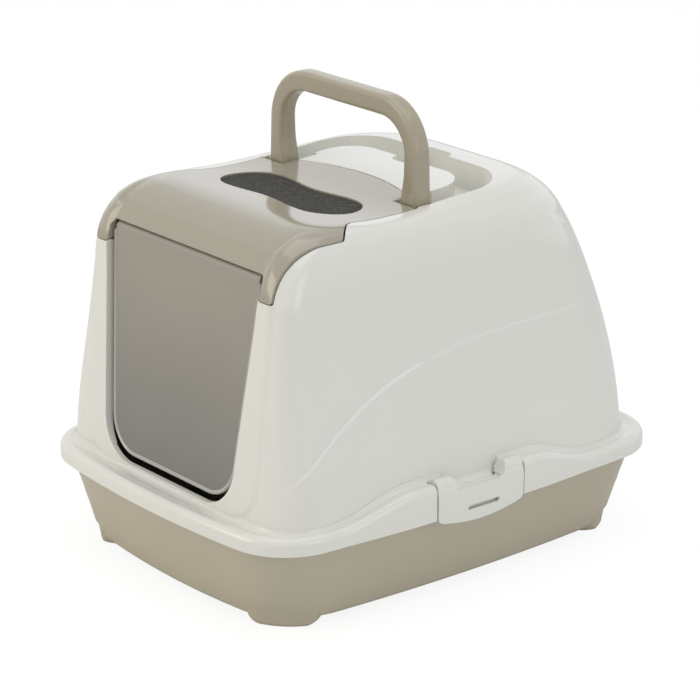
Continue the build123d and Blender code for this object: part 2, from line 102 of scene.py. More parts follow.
DOORWAY_HALF = 116.5
DOORWAY_TAPER = 0.098
DOORWAY_LOW = 105.0
DOORWAY_CORNER = 42.0
LEG_LOW = 306.5
JAMB_WALL = 2.2
JAMB_REACH = [(-300, 116), (-216.8, 116), (-205.0, 172), (-185, 340), (-300, 340)]  # seen from the side
SURROUND_HALF = 134.0
SURROUND_RISE = 2.4
VISOR_LOW = 327.5
VISOR_HALF = 113.0
VISOR_CORNER = 321.5
FLAP_STEP_Y = -121.0
FLAP_STEP_RUN = 17.0
FLAP_SIDE = 114.0
FLAP_HEEL = -20.4
FLAP_PIVOT = (-38.0, 350.2)
TONGUE_HALF = 81.2
TONGUE_Y = -1.0
TONGUE_BOW = 14.5
TONGUE_GAP = 1.9

WINDOW = (87.0, 32.5, 54.0, -75.0)  # half length, lobe radius, waist, middle
DOOR_RECESS = 3.4
DOOR_LOW = 110.5
DOOR_GAP = 4.5
DOOR_SHOULDER = 317.0
DOOR_TOP_HALF = 109.5
DOOR_CORNER = 38.0
DOOR_PIVOT = (-189.4, 320.0)
DOOR_KNUCKLE = 5.9
DOOR_THICK = 2.4

HANDLE_HALF = 108.3
HANDLE_TOP = 450.6
HANDLE_Y = -6.0
HANDLE_PIVOT = (-5.0, 350.0)
HANDLE_EDGE = 4.6

TRAY_INSET = 7.5  # of the wall's top from the rim's outline
TRAY_DRAFT = 18.0
TRAY_WALL = 2.8
TRAY_FLOOR = 7.5
TRAY_TOP = 99.2
FOOT_AT = (128.0, 184.0)
FOOT_RADIUS = 35.0
FOOT_ROUND = 6.0

CLIP_Y = -8.5
CLIP_HALF = 52.0
CLIP_EAR = 17.0
CLIP_DIP = 110.5
CLIP_RECESS = 193.4
CLIP_REAR_GAP = 1.7
CLIP_PIVOT = (189.0, 116.5)

# Height of the side walls' raised arch along the length, and the crease behind it
ARCH = np.array(
    [(-235, 118), (-193, 156), (-150, 187), (-100, 212), (-45, 228), (8, 236), (60, 239), (122, 240)]
)
ARCH_RISE = 2.8
CREASE_DEPTH = 1.6
CREASE = np.array([(95, 342), (122, 333), (143, 317), (165, 288), (180, 264), (193, 240)])


# Meshes


def mesh_object(name, points, faces):
    """An object from points in millimetres."""
    mesh = bpy.data.meshes.new(name)
    mesh.from_pydata([tuple(float(c) * MM for c in p) for p in points], [], faces)
    mesh.validate()
    mesh.update()
    thing = bpy.data.objects.new(name, mesh)
    bpy.context.scene.collection.objects.link(thing)
    return thing


def loft(name, rings):
    """Closed rings of equal length, joined in order; the ends are closed by one face each."""
    rings = [np.asarray(ring, float) for ring in rings]
    count = len(rings[0])
    faces = []
    for k in range(len(rings) - 1):
        a = k * count
        for i in range(count):
            j = (i + 1) % count
            faces.append((a + i, a + j, a + count + j, a + count + i))
    last = (len(rings) - 1) * count
    faces.append(tuple(range(count))[::-1])
    faces.append(tuple(range(last, last + count)))
    return mesh_object(name, np.concatenate(rings), faces)


def prism(name, outline, direction, low, high):
    """A 2-D outline filled from low to high: direction 'z' takes (x, y), 'y' (x, z), 'x' (y, z)."""
    outline = np.asarray(outline, float)

    def place(level):
        flat = np.full(len(outline), level)
        a, b = outline[:, 0], outline[:, 1]
        columns = {"z": (a, b, flat), "y": (a, flat, b), "x": (flat, a, b)}[direction]
        return np.stack(columns, 1)

    return turned_out(loft(name, [place(low), place(high)]))


def turned_out(thing):
    """Faces point outwards."""
    work = bmesh.new()
    work.from_mesh(thing.data)
    bmesh.ops.recalc_face_normals(work, faces=work.faces)
    work.to_mesh(thing.data)
    work.free()
    return thing


def carved(thing, *steps):
    """Joins, cuts and trims in order: each step is a sign (+, - or &) and an object, which is used up."""
    modes = {"+": "UNION", "-": "DIFFERENCE", "&": "INTERSECT"}
    for sign, tool in steps:
        turned_out(tool)
        step = thing.modifiers.new("carve", "BOOLEAN")
        step.operation = modes[sign]
        step.solver = "MANIFOLD"
        step.object = tool
        graph = bpy.context.evaluated_depsgraph_get()
        made = bpy.data.meshes.new_from_object(thing.evaluated_get(graph))
        thing.modifiers.clear()
        old = thing.data
        thing.data = made
        bpy.data.meshes.remove(old)
        bpy.data.objects.remove(tool)
    return thing


def smooth(thing, degrees=32):
    """Smooth shading, with edges sharper than this kept crisp."""
    mesh = thing.data
    mesh.polygons.foreach_set("use_smooth", [True] * len(mesh.polygons))
    mesh.set_sharp_from_angle(angle=math.radians(degrees))
    return thing


def rounded(corners, radii, steps=8):
    """A polygon with rounded corners, as points."""
    points = []
    corners = [np.array(c, float) for c in corners]
    if not hasattr(radii, "__len__"):
        radii = [radii] * len(corners)
    for i, corner in enumerate(corners):
        before, after = corners[i - 1], corners[(i + 1) % len(corners)]
        radius = radii[i]
        if radius <= 0:
            points.append(corner)
            continue
        a = (before - corner) / np.linalg.norm(before - corner)
        b = (after - corner) / np.linalg.norm(after - corner)
        half = math.acos(max(-1, min(1, float(a @ b)))) / 2
        reach = radius / math.tan(half)
        middle = corner + (a + b) / np.linalg.norm(a + b) * (radius / math.sin(half))
        start, end = corner + a * reach - middle, corner + b * reach - middle
        angle = math.atan2(start[1], start[0])
        turn = (math.atan2(end[1], end[0]) - angle + math.pi) % (2 * math.pi) - math.pi
        for k in range(steps + 1):
            t = angle + turn * k / steps
            points.append(middle + radius * np.array([math.cos(t), math.sin(t)]))
    return np.array(points)


def step_up(value, low, high):
    """0 below low, 1 above high, smooth between."""
    t = np.clip((np.asarray(value, float) - low) / (high - low), 0, 1)
    return t * t * (3 - 2 * t)


def along(curve, at):
    """A smooth line through the given points, read at the given places."""
    x, y = curve[:, 0].astype(float), curve[:, 1].astype(float)
    slope = np.gradient(y, x)
    at = np.asarray(at, float)
    i = np.clip(np.searchsorted(x, at) - 1, 0, len(x) - 2)
    h = x[i + 1] - x[i]
    t = np.clip((at - x[i]) / h, 0, 1)
    start = (2 * t**3 - 3 * t**2 + 1) * y[i] + (t**3 - 2 * t**2 + t) * h * slope[i]
    return start + (3 * t**2 - 2 * t**3) * y[i + 1] + (t**3 - t**2) * h * slope[i + 1]


# The hood's form


def section(z):
    """Half width, front, back and corner radii at heights z."""
    return [along(HOOD_SECTIONS[:, [0, column]], z) for column in range(1, 6)]


EDGE_STEPS = {"front": 84, "front_corner": 22, "side": 160, "back_corner": 42, "back": 22}


def half_outline():
    """Segment and place along it for each column of the right half, from the door's middle to the back's."""
    columns = []
    for name, count in EDGE_STEPS.items():
        for k in range(count):
            columns.append((name, k / count))
    columns.append(("back", 1.0))
    return columns


COLUMNS = half_outline()


def outline_at(z, inset=0.0):
    """The hood's outline with each column at its own height z: x, y, and the wall's outward direction."""
    w, f, b, rf, rb = section(z)
    w, f, b = w - inset, f + inset, b - inset
    rf, rb = rf - inset / 2, rb - inset
    names = np.array([name for name, _ in COLUMNS])
    t = np.array([place for _, place in COLUMNS])
    quarter = t * math.pi / 2
    x = np.zeros(len(t))
    y = np.zeros(len(t))
    nx = np.zeros(len(t))
    ny = np.zeros(len(t))
    on = names == "front"
    x[on], y[on], ny[on] = (t * (w - rf))[on], f[on], -1
    on = names == "front_corner"
    x[on], y[on] = (w - rf + rf * np.sin(quarter))[on], (f + rf - rf * np.cos(quarter))[on]
    nx[on], ny[on] = np.sin(quarter)[on], -np.cos(quarter)[on]
    on = names == "side"
    x[on], y[on], nx[on] = w[on], (f + rf + t * (b - rb - f - rf))[on], 1
    on = names == "back_corner"
    x[on], y[on] = (w - rb + rb * np.cos(quarter))[on], (b - rb + rb * np.sin(quarter))[on]
    nx[on], ny[on] = np.cos(quarter)[on], np.sin(quarter)[on]
    on = names == "back"
    x[on], y[on], ny[on] = ((1 - t) * (w - rb))[on], b[on], 1
    return x, y, nx, ny


def full_ring(x, y, z):
    """Both halves of a ring from its right half."""
    right = np.stack([x, y, z], 1)
    left = right[1:-1][::-1] * (-1, 1, 1)
    return np.concatenate([right, left])


def wall_height(x, y, inset):
    """Height at which the wall's outline passes over (x, y)."""
    low = np.full(x.shape, 320.0)
    high = np.full(x.shape, 371.9)
    for _ in range(22):
        z = (low + high) / 2
        w, f, b, rf, rb = section(z)
        w, f, b = w - inset, f + inset, b - inset
        r = np.where(y < 0, rf - inset / 2, rb - inset)
        depth = np.where(y < 0, f - y, y - b)
        dx, dy = np.abs(x) - (w - r), depth + r
        out = np.where((dx > 0) & (dy > 0), np.hypot(dx, dy) - r, np.maximum(dx - r, dy - r))
        inside = out < 0
        low = np.where(inside, z, low)
        high = np.where(inside, high, z)
    return (low + high) / 2 - inset


def soft_min(a, b, reach):
    t = np.clip(0.5 + 0.5 * (b - a) / reach, 0, 1)
    return b + (a - b) * t - reach * t * (1 - t)


def d_distance(x, y, shape):
    """Distance outside a D-shaped outline with round back corners, negative inside."""
    half, back, radius = shape
    dx, dy = np.abs(x) - (half - radius), y - (back - radius)
    corner = np.hypot(np.maximum(dx, 0), np.maximum(dy, 0)) + np.minimum(np.maximum(dx, dy), 0)
    return corner - radius


def roof_height(x, y, inset=0.0, flap=False):
    """The roof's height over (x, y), the soft step of its plateau included, which runs all over the flap."""
    roof = along(ROOF_LINE, y) - inset
    height = soft_min(wall_height(x, y, inset), roof, 5.0)
    rise = PLATEAU_RISE * step_up(-d_distance(x, y, PLATEAU), -2.0, 2.5)
    return height + rise * (1.0 if flap else step_up(y, -150, -95))


def surround_relief(x, y, z, nx):
    """The doorway's raised frame, with a soft edge and round lower corners."""
    dx, dz = np.abs(x) - (SURROUND_HALF - 42), 143 - z
    corner = np.hypot(np.maximum(dx, 0), np.maximum(dz, 0)) + np.minimum(np.maximum(dx, dz), 0) - 42
    return SURROUND_RISE * step_up(-corner, -3.0, 3.0) * step_up(-y, 165, 185)


def side_relief(x, y, z, nx):
    """The side walls: proud below the arch's line, drawn in behind the rear crease."""
    on_side = step_up(np.abs(nx), 0.45, 0.8)
    line = along(ARCH, np.clip(y, -235, 122))
    under = step_up(line - z, -1.0, 1.0) * step_up(z, 106, 150)
    arch = ARCH_RISE * under * (1 - step_up(y, 40, 165)) * step_up(y, -214, -185)
    crease = np.interp(z, CREASE[::-1, 1], CREASE[::-1, 0])
    drawn_in = CREASE_DEPTH * step_up(y - crease, -2.5, 2.5) * step_up(z, 205, 262)
    drawn_in *= 1 - step_up(z, 322, 344)
    return (arch - drawn_in * (1 - step_up(y - crease, 12, 60))) * on_side


def hood_relief(x, y, z, nx):
    return surround_relief(x, y, z, nx) + side_relief(x, y, z, nx)


def rail_relief(x, y, z, nx):
    """The flap's two rails, which carry the doorway's frame on over the roof's edge and fade there."""
    rise = SURROUND_RISE * step_up(np.abs(x), 114.8, 118.4)
    return rise * (1 - step_up(y, -178, -134)) * step_up(-y, 120, 150)


def outward(grid):
    """Normals of a grid of points, rows by closed rings."""
    along_ring = np.roll(grid, -1, 1) - np.roll(grid, 1, 1)
    across = np.gradient(grid, axis=0)
    normal = np.cross(along_ring, across)
    return normal / np.maximum(np.linalg.norm(normal, axis=2), 1e-9)[..., None]


def hood_solid(name, inset=0.0, relief=None, flap=False):
    """The hood's closed form, shrunk by inset, with an optional relief along its normals."""
    rings = []
    top = 340.0
    probe = outline_at(np.full(len(COLUMNS), 210.0))
    line = np.clip(along(ARCH, np.clip(probe[1], -235, 122)), 128, 300)
    for v in range(66):
        if v < 26:
            z = HOOD_LOW + (line - 7 - HOOD_LOW) * v / 26
        elif v < 38:
            z = line - 7 + 14 * (v - 26) / 12
        else:
            z = line + 7 + (top - line - 7) * ((v - 38) / 27)
        x, y, _, _ = outline_at(z, inset)
        if inset > 0 and v == 0:
            rings.append(full_ring(x, y, np.full(len(x), 60.0)))
        rings.append(full_ring(x, y, z - inset))
    w, f, b, rf, rb = section(np.array([top]))
    middle = (f[0] + b[0]) / 2
    x0, y0, _, _ = outline_at(np.full(len(COLUMNS), top), inset)
    for k in range(1, 60):
        s = 1 - 0.4 * (k / 24) ** 1.15 if k <= 24 else 0.6 * (1 - (k - 24) / 36)
        x, y = x0 * s, middle + (y0 - middle) * s
        height = roof_height(x, y, inset, flap)
        if k < 4:
            height = np.maximum(height, top - inset + 0.3 * k)
        rings.append(full_ring(x, y, height))
    grid = np.array(rings)
    if relief:
        normal = outward(grid)
        rise = relief(grid[..., 0], grid[..., 1], grid[..., 2], normal[..., 0])
        grid = grid + normal * rise[..., None]
    return turned_out(loft(name, grid))


def doorway_half(z):
    return DOORWAY_HALF - DOORWAY_TAPER * (LEG_LOW - z)


def doorway_prism(name, grow, low, high, y_low, y_high):
    corners = [
        (-doorway_half(low) - grow, low - grow),
        (doorway_half(low) + grow, low - grow),
        (doorway_half(high) + grow, high),
        (-doorway_half(high) - grow, high),
    ]
    radius = DOORWAY_CORNER + grow
    return prism(name, rounded(corners, [radius, radius, 0, 0], 14), "y", y_low, y_high)


def d_prism(name, shape, grow, front, low, high):
    half, back, radius = shape[0] + grow, shape[1] + grow, shape[2] + grow
    corners = [(-half, front), (half, front), (half, back), (-half, back)]
    return prism(name, rounded(corners, [0, 0, radius, radius], 20), "z", low, high)


def block(name, x, y, z):
    corners = [(x[0], y[0]), (x[1], y[0]), (x[1], y[1]), (x[0], y[1])]
    return prism(name, corners, "z", z[0], z[1])


def rod(name, axis, low, high, a, b, radius, steps=28):
    """A round bar along x (at y=a, z=b) or y (at x=a, z=b)."""
    turn = [2 * math.pi * k / steps for k in range(steps)]
    circle = [(a + radius * math.cos(t), b + radius * math.sin(t)) for t in turn]
    return prism(name, circle, axis, low, high)


def flap_room(name, grow):
    """The flap's room in the roof: plan outline and front outline, grown all round."""
    wide, narrow = SURROUND_HALF + grow, FLAP_SIDE + grow
    step = FLAP_STEP_Y + FLAP_STEP_RUN
    tongue = TONGUE_HALF + grow
    right = [(wide, -300), (wide, FLAP_STEP_Y + grow), (narrow + 3, step + grow), (narrow, step + 7 + grow)]
    right += [(narrow, FLAP_HEEL + grow), (tongue, FLAP_HEEL + grow), (tongue, TONGUE_Y)]
    radii = [0, 7, 7, 0, 3, 3, 0]
    bow = TONGUE_BOW + (TONGUE_GAP if grow else 0)
    arc = [(tongue * (1 - k / 12), TONGUE_Y + bow * (1 - (1 - k / 12) ** 2)) for k in range(1, 24)]
    outline = right + arc + [(-x, y) for x, y in reversed(right)]
    plan = prism(name, rounded(outline, radii + [0] * len(arc) + radii[::-1], 5), "z", 250, 480)
    low, visor = LEG_LOW - grow, VISOR_LOW - grow
    inner = [(DOORWAY_HALF, low), (DOORWAY_HALF, VISOR_CORNER), (VISOR_HALF, visor)]
    front = [(-x, z) for x, z in inner] + inner[::-1] + [(wide, low), (wide, 480), (-wide, 480), (-wide, low)]
    bends = [2, 3, 3] + [3, 3, 2] + [2, 0, 0, 2]
    return carved(plan, ("&", prism("front", rounded(front, bends, 5), "y", -350, 350)))


def peanut_outline(grow):
    """The filter window: two long lobes with a short waist between."""
    half, lobe, waist, middle = WINDOW
    centre = half - lobe
    lobe, waist = lobe + grow, waist / 2 + grow
    x = np.linspace(-centre, centre, 44)
    depth = waist + (lobe - waist) * step_up(np.abs(x), 2, 50)
    turns = np.linspace(-math.pi / 2, math.pi / 2, 24)[1:-1]
    right = [(centre + lobe * math.cos(t), lobe * math.sin(t)) for t in turns]
    left = [(-a, -b) for a, b in right]
    outline = list(zip(x, -depth)) + right + list(zip(x[::-1], depth[::-1])) + left
    return np.array(outline) + (0, middle)


def rim_outline(inset, corner=RIM_CORNER, steps=26):
    """The rim's bowed outline as points, and the outward direction at each."""
    x = RIM_WIDTH / 2 - RIM_SIDE_BOW - inset
    y = RIM_LENGTH / 2 - RIM_END_BOW - inset
    sides = []
    for start, end, bow in (((-x, -y), (x, -y), RIM_END_BOW), ((x, -y), (x, y), RIM_SIDE_BOW)):
        start, end = np.array(start, float), np.array(end, float)
        run = end - start
        normal = np.array([run[1], -run[0]]) / np.linalg.norm(run)
        t = np.linspace(0, 1, 181)[:, None]
        sides.append(start + run * t + normal * bow * 4 * t * (1 - t))
    front, side = sides
    corner_at = np.array((x, -y))
    a = front[np.linalg.norm(front - corner_at, axis=1) > corner * 0.93]
    a = a[a[:, 0] >= 0]
    b = side[np.linalg.norm(side - corner_at, axis=1) > corner * 0.93]
    b = b[b[:, 1] <= 0]
    p0, p3 = a[-1], b[0]
    d0 = (a[-1] - a[-2]) / np.linalg.norm(a[-1] - a[-2])
    d3 = (b[1] - b[0]) / np.linalg.norm(b[1] - b[0])
    reach = np.linalg.norm(p3 - p0) * 0.391
    t = np.linspace(0, 1, steps)[1:-1, None]
    p1, p2 = p0 + d0 * reach, p3 - d3 * reach
    bend = (1 - t) ** 3 * p0 + 3 * (1 - t) ** 2 * t * p1 + 3 * (1 - t) * t * t * p2 + t**3 * p3
    quarter = np.concatenate([a, bend, b])
    if quarter[0][0] > 0:
        quarter = np.concatenate([[(0, -y - RIM_END_BOW)], quarter])
    if quarter[-1][1] < 0:
        quarter = np.concatenate([quarter, [(x + RIM_SIDE_BOW, 0)]])
    right = np.concatenate([quarter, (quarter * (1, -1))[::-1][1:]])
    ring = np.concatenate([right, (right * (-1, 1))[::-1][1:-1]])
    ahead = np.roll(ring, -1, 0) - np.roll(ring, 1, 0)
    normal = np.stack([ahead[:, 1], -ahead[:, 0]], 1)
    normal /= np.linalg.norm(normal, axis=1)[:, None]
    return ring, normal


def swept(name, ring, normal, profile):
    """A closed profile of (outward, z) carried round a ring; z may vary along the ring."""
    rings = []
    for out, z in profile:
        xy = ring + normal * np.asarray(out).reshape(-1, 1)
        rings.append(np.column_stack([xy, np.broadcast_to(z, len(ring))]))
    count = len(ring)
    faces = []
    for k in range(len(profile)):
        a, b = k * count, ((k + 1) % len(profile)) * count
        for i in range(count):
            j = (i + 1) % count
            faces.append((a + i, a + j, b + j, b + i))
    return turned_out(mesh_object(name, np.concatenate(rings), faces))


# Materials

# Sizes of the patterns in millimetres
FLOW_MM = 160.0  # drift of tone across a moulding
WEAR_MM = 35.0  # patches of handling
HAZE_MM = 110.0  # clouding in the smoked plastic
SCUFF_MM = 12.0  # fine scuffs on the door
CELL_MM = 2.6  # open cells of the foam
GRIT_MM = 3.2  # clumps of carbon grains, coarser than real ones so that they show


def linear(colour):
    """An sRGB hex colour as linear RGBA."""
    parts = [int(colour[i : i + 2], 16) / 255 for i in (1, 3, 5)]
    return (*[p / 12.92 if p <= 0.04045 else ((p + 0.055) / 1.055) ** 2.4 for p in parts], 1.0)


def add(tree, kind, links=(), **settings):
    """Adds a node; settings name its properties or sockets, links are (socket, from_node, from_socket)."""
    node = tree.nodes.new(kind)
    for key, value in settings.items():
        if hasattr(node, key):
            setattr(node, key, value)
        else:
            node.inputs[key.replace("_", " ")].default_value = value
    for socket, source, output in links:
        tree.links.new(source.outputs[output], node.inputs[socket])
    return node


def moulded_plastic(name, colour, shade, roughness, grain_mm, grain_depth, coat=0.0, edge_mm=1.1):
    """Injection-moulded plastic: slow drift of tone from flow and cooling, a faint moulded skin that
    breaks up the highlights, drawn coarser than the real one so that it shows, handling marks that
    lift the gloss a little, and softly rounded edges."""
    material = bpy.data.materials.new(name)
    material.use_nodes = True
    tree = material.node_tree
    tree.nodes.clear()
    place = add(tree, "ShaderNodeTexCoord")
    at = [("Vector", place, "Object")]
    flow = add(tree, "ShaderNodeTexNoise", at, Scale=1000 / FLOW_MM, Detail=3.0, Roughness=0.5)
    tint = add(tree, "ShaderNodeMix", [("Factor", flow, "Fac")], data_type="RGBA")
    tint.inputs[6].default_value = linear(colour)
    tint.inputs[7].default_value = linear(shade)
    wear = add(tree, "ShaderNodeTexNoise", at, Scale=1000 / WEAR_MM, Detail=6.0, Roughness=0.62)
    gloss = add(tree, "ShaderNodeMapRange", [("Value", wear, "Fac")])
    gloss.inputs["To Min"].default_value = roughness * 0.85
    gloss.inputs["To Max"].default_value = roughness * 1.2
    skin = add(tree, "ShaderNodeTexNoise", at, Scale=1000 / grain_mm, Detail=2.0, Roughness=0.5)
    edge = add(tree, "ShaderNodeBevel", samples=6, Radius=edge_mm * MM)
    bump = add(
        tree, "ShaderNodeBump", [("Height", skin, "Fac"), ("Normal", edge, "Normal")],
        Strength=0.5, Distance=grain_depth * MM,
    )
    shader = add(
        tree,
        "ShaderNodeBsdfPrincipled",
        [("Base Color", tint, 2), ("Roughness", gloss, "Result"), ("Normal", bump, "Normal")],
        IOR=1.49,
    )
    shader.inputs["Coat Weight"].default_value = coat
    shader.inputs["Coat Roughness"].default_value = 0.08
    add(tree, "ShaderNodeOutputMaterial", [("Surface", shader, "BSDF")])
    return material


def smoked_plastic(name, high, low, clear):
    """Smoked see-through polystyrene, polished in the mould. Its colour is painted from one tone above to
    another towards the sill:
    on the door's panel the darker lower tone is painted shade, standing in for the shaded cabin and tray seen
    dimly through it."""
    material = bpy.data.materials.new(name)
    material.use_nodes = True
    tree = material.node_tree
    tree.nodes.clear()
    place = add(tree, "ShaderNodeTexCoord")
    at = [("Vector", place, "Object")]
    haze = add(tree, "ShaderNodeTexNoise", at, Scale=1000 / HAZE_MM, Detail=3.0, Roughness=0.5)
    axes = add(tree, "ShaderNodeSeparateXYZ", at)
    # Painted light by height: towards the sill the panel's tone darkens as painted shade of the cabin behind
    # it, and the border's pales as a painted highlight
    height = add(tree, "ShaderNodeMapRange", [("Value", axes, "Z")])
    height.inputs["From Min"].default_value = 0.30
    height.inputs["From Max"].default_value = 0.12
    drift = add(tree, "ShaderNodeMath", [(0, haze, "Fac")], operation="MULTIPLY_ADD")
    drift.inputs[1].default_value = 0.3
    drift.inputs[2].default_value = -0.15
    share = add(tree, "ShaderNodeMath", [(0, drift, "Value"), (1, height, "Result")], operation="ADD")
    tint = add(tree, "ShaderNodeMix", [("Factor", share, "Value")], data_type="RGBA")
    tint.inputs[6].default_value = linear(high)
    tint.inputs[7].default_value = linear(low)
    scuff = add(tree, "ShaderNodeTexNoise", at, Scale=1000 / SCUFF_MM, Detail=5.0, Roughness=0.6)
    gloss = add(tree, "ShaderNodeMapRange", [("Value", scuff, "Fac")])
    gloss.inputs["To Min"].default_value = 0.17
    gloss.inputs["To Max"].default_value = 0.26
    edge = add(tree, "ShaderNodeBevel", samples=4, Radius=0.8 * MM)
    shader = add(
        tree,
        "ShaderNodeBsdfPrincipled",
        [("Base Color", tint, 2), ("Roughness", gloss, "Result"), ("Normal", edge, "Normal")],
        IOR=1.59,
    )
    shader.inputs["Transmission Weight"].default_value = clear
    shader.inputs["Coat Weight"].default_value = 0.4
    shader.inputs["Coat Roughness"].default_value = 0.05
    add(tree, "ShaderNodeOutputMaterial", [("Surface", shader, "BSDF")])
    return material


def carbon_foam(name):
    """Open-cell foam dusted with activated carbon: dark cells with pale grains between."""
    material = bpy.data.materials.new(name)
    material.use_nodes = True
    tree = material.node_tree
    tree.nodes.clear()
    place = add(tree, "ShaderNodeTexCoord")
    at = [("Vector", place, "Object")]
    cells = add(tree, "ShaderNodeTexVoronoi", at, Scale=1000 / CELL_MM)
    grit = add(tree, "ShaderNodeTexNoise", at, Scale=1000 / GRIT_MM, Detail=5.0, Roughness=0.8)
    ramp = add(tree, "ShaderNodeValToRGB", [("Fac", grit, "Fac")])
    ramp.color_ramp.elements[0].position = 0.38
    ramp.color_ramp.elements[0].color = linear("#2B2A28")
    ramp.color_ramp.elements[1].position = 0.72
    ramp.color_ramp.elements[1].color = linear("#77746C")
    middle = ramp.color_ramp.elements.new(0.56)
    middle.color = linear("#454440")
    bump = add(tree, "ShaderNodeBump", [("Height", cells, "Distance")], Strength=1.0, Distance=1.2 * MM)
    shader = add(
        tree,
        "ShaderNodeBsdfPrincipled",
        [("Base Color", ramp, "Color"), ("Normal", bump, "Normal")],
        Roughness=0.95,
    )
    add(tree, "ShaderNodeOutputMaterial", [("Surface", shader, "BSDF")])
    return material


# Name, two tones, roughness, grain and its depth in millimetres, share of clear gloss

# Polished mould: even and bright, with soft broad highlights
warm_white = moulded_plastic(
    "gloss_white_moulded_polypropylene", "#EEEEE8", "#E9E9E3", 0.2, 9.0, 0.012, 0.35
)
# The same polish on a darker plastic: the sharpest highlights of the box
taupe_gloss = moulded_plastic(
    "gloss_taupe_moulded_polypropylene", "#AEA898", "#A8A292", 0.16, 9.0, 0.01, 0.45
)
# Polish taken down by hands: broader, duller highlights
taupe_grip = moulded_plastic(
    "semi_gloss_taupe_moulded_polypropylene", "#B0A893", "#A9A18D", 0.26, 6.0, 0.015, 0.2
)
# Blasted mould: matt, with a fine grain that keeps the large walls calm
taupe_satin = moulded_plastic("satin_taupe_moulded_polypropylene", "#C2BBA7", "#BBB4A1", 0.4, 1.4, 0.02)
# Name, tone above and tone below (darker here: painted shade of the cabin seen through the panel), share of
# light let straight through
smoked = smoked_plastic("smoked_polystyrene_painted_cabin_shade", "#B6AFA2", "#8D8C86", 0.3)
# Painted highlight: the border gets paler tones than the panel, palest towards the sill, for the light its
# rounded edge gathers
smoked_edge_painted_highlight = smoked_plastic("smoked_polystyrene_edge_painted_highlight", "#B9B6AC", "#C6C6C2", 0.2)
foam = carbon_foam("activated_carbon_open_cell_foam")


def dressed(thing, body, nodes, material, degrees=32):
    """Shades a piece, gives it its material and hangs it on its body in place of its CAD nodes."""
    smooth(thing, degrees)
    thing.data.materials.clear()
    thing.data.materials.append(material)
    for face in thing.data.polygons:
        face.material_index = 0
    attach(thing, body)
    if nodes:
        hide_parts(*nodes)
    return thing


# Hood


def housing_ramp(y):
    """How far the rim has grown, along its sides, into the housings of the clip's pins."""
    front = step_up(y, -172, -80)
    back = 1 - step_up(y, 62, 140)
    return np.where(y < CLIP_Y, front, back)


def housing_lift(y):
    """The rim's added height: full beside the clip, low under the clip's dip."""
    return np.where(np.abs(y - CLIP_Y) < CLIP_HALF - CLIP_EAR - 0.6, 7.4, 17.6 * housing_ramp(y))


def rim_solid(name):
    ring, normal = rim_outline(0.0)
    on_side = (np.abs(ring[:, 0]) > 150) & (np.abs(ring[:, 1]) < 175)
    lift = np.where(on_side, housing_lift(ring[:, 1]), 0)
    swell = np.where(on_side, housing_ramp(ring[:, 1]), 0) * 1.7
    profile = [(-2.6, RIM_LOW), (swell - 1.2, RIM_LOW), (swell - 0.3, RIM_LOW + 0.6), (swell, RIM_LOW + 1.8)]
    for k in range(9):
        t = math.pi / 2 * k / 8
        drop = RIM_ROUND * (1 - math.sin(t))
        profile.append((swell - RIM_ROUND * (1 - math.cos(t)), RIM_TOP - drop + lift))
    profile += [(-9.5, RIM_TOP - 0.35 + lift), (-11.5, RIM_TOP - 1.3 + lift), (-13.5, RIM_TOP - 1.9 + lift)]
    profile += [(-60.0, RIM_TOP - 1.9 + lift), (-60.0, RIM_TOP - 4.0)]
    profile += [(-5.0, RIM_TOP - 4.0), (-2.6, RIM_TOP - 6.0)]
    return swept(name, ring, normal, profile)


def wall_fillet(name):
    """The concave round where the wall meets the rim."""
    x, y, nx, ny = outline_at(np.full(len(COLUMNS), 103.0))
    right = np.stack([x, y], 1)
    normals = np.stack([nx, ny], 1)
    ring = np.concatenate([right, (right * (-1, 1))[1:-1][::-1]])
    normal = np.concatenate([normals, (normals * (-1, 1))[1:-1][::-1]])
    on_side = np.abs(ring[:, 0]) > 150
    lift = np.where(on_side & (np.abs(ring[:, 1]) < 175), housing_lift(ring[:, 1]), 0)
    radius = 6.5
    profile = [(-4.5, 99.6), (radius, 99.6)]
    for k in range(9):
        t = math.pi / 2 * k / 8
        out = radius * (1 - math.sin(t)) - 0.05 - 0.07 * lift * (k / 8)
        profile.append((out, 100.5 + lift + radius * (1 - math.cos(t))))
    profile.append((-4.5, 100.5 + lift + radius))
    return swept(name, ring, normal, profile)


def groove_room(name, grow, floor):
    """Room for the folded handle round the roof's island, grown into its wall and floor."""
    room = d_prism(name, GROOVE, grow, POCKET_FRONT - grow, floor, 480)
    island = d_prism("island", ISLAND, -grow, POCKET_BACK + grow, floor - 5, 485)
    inner_x = POCKET_INNER - grow
    middle = block("middle", (-inner_x, inner_x), (-200, POCKET_BACK + grow + 1), (floor - 5, 485))
    return carved(room, ("-", island), ("-", middle))


def notch_room(name, grow, floor):
    half, front, back = NOTCH[0] + grow, NOTCH[1] - grow, NOTCH[2] + grow
    corners = [(-half, front), (half, front), (half, back), (-half, back)]
    return prism(name, rounded(corners, 8 + grow, 8), "z", floor, 480)


def sided(side, near, far):
    """A stretch of x on one side of the middle, near and far measured outwards."""
    return sorted((side * near, side * far))


def doorway_return():
    """The doorway's inner return, full beside the door and tapering out at its lower corners."""
    jamb = doorway_prism("jamb", JAMB_WALL, DOORWAY_LOW, LEG_LOW, -300, -120)
    inside = doorway_prism("jamb_inside", 0.0, DOORWAY_LOW, LEG_LOW + 5, -310, -110)
    reach = prism("jamb_reach", JAMB_REACH, "x", -200, 200)
    carved(jamb, ("-", inside), ("&", reach), ("&", hood_solid("jamb_front", 1.2)))
    return carved(jamb, ("-", hood_solid("jamb_back", 9.0)))


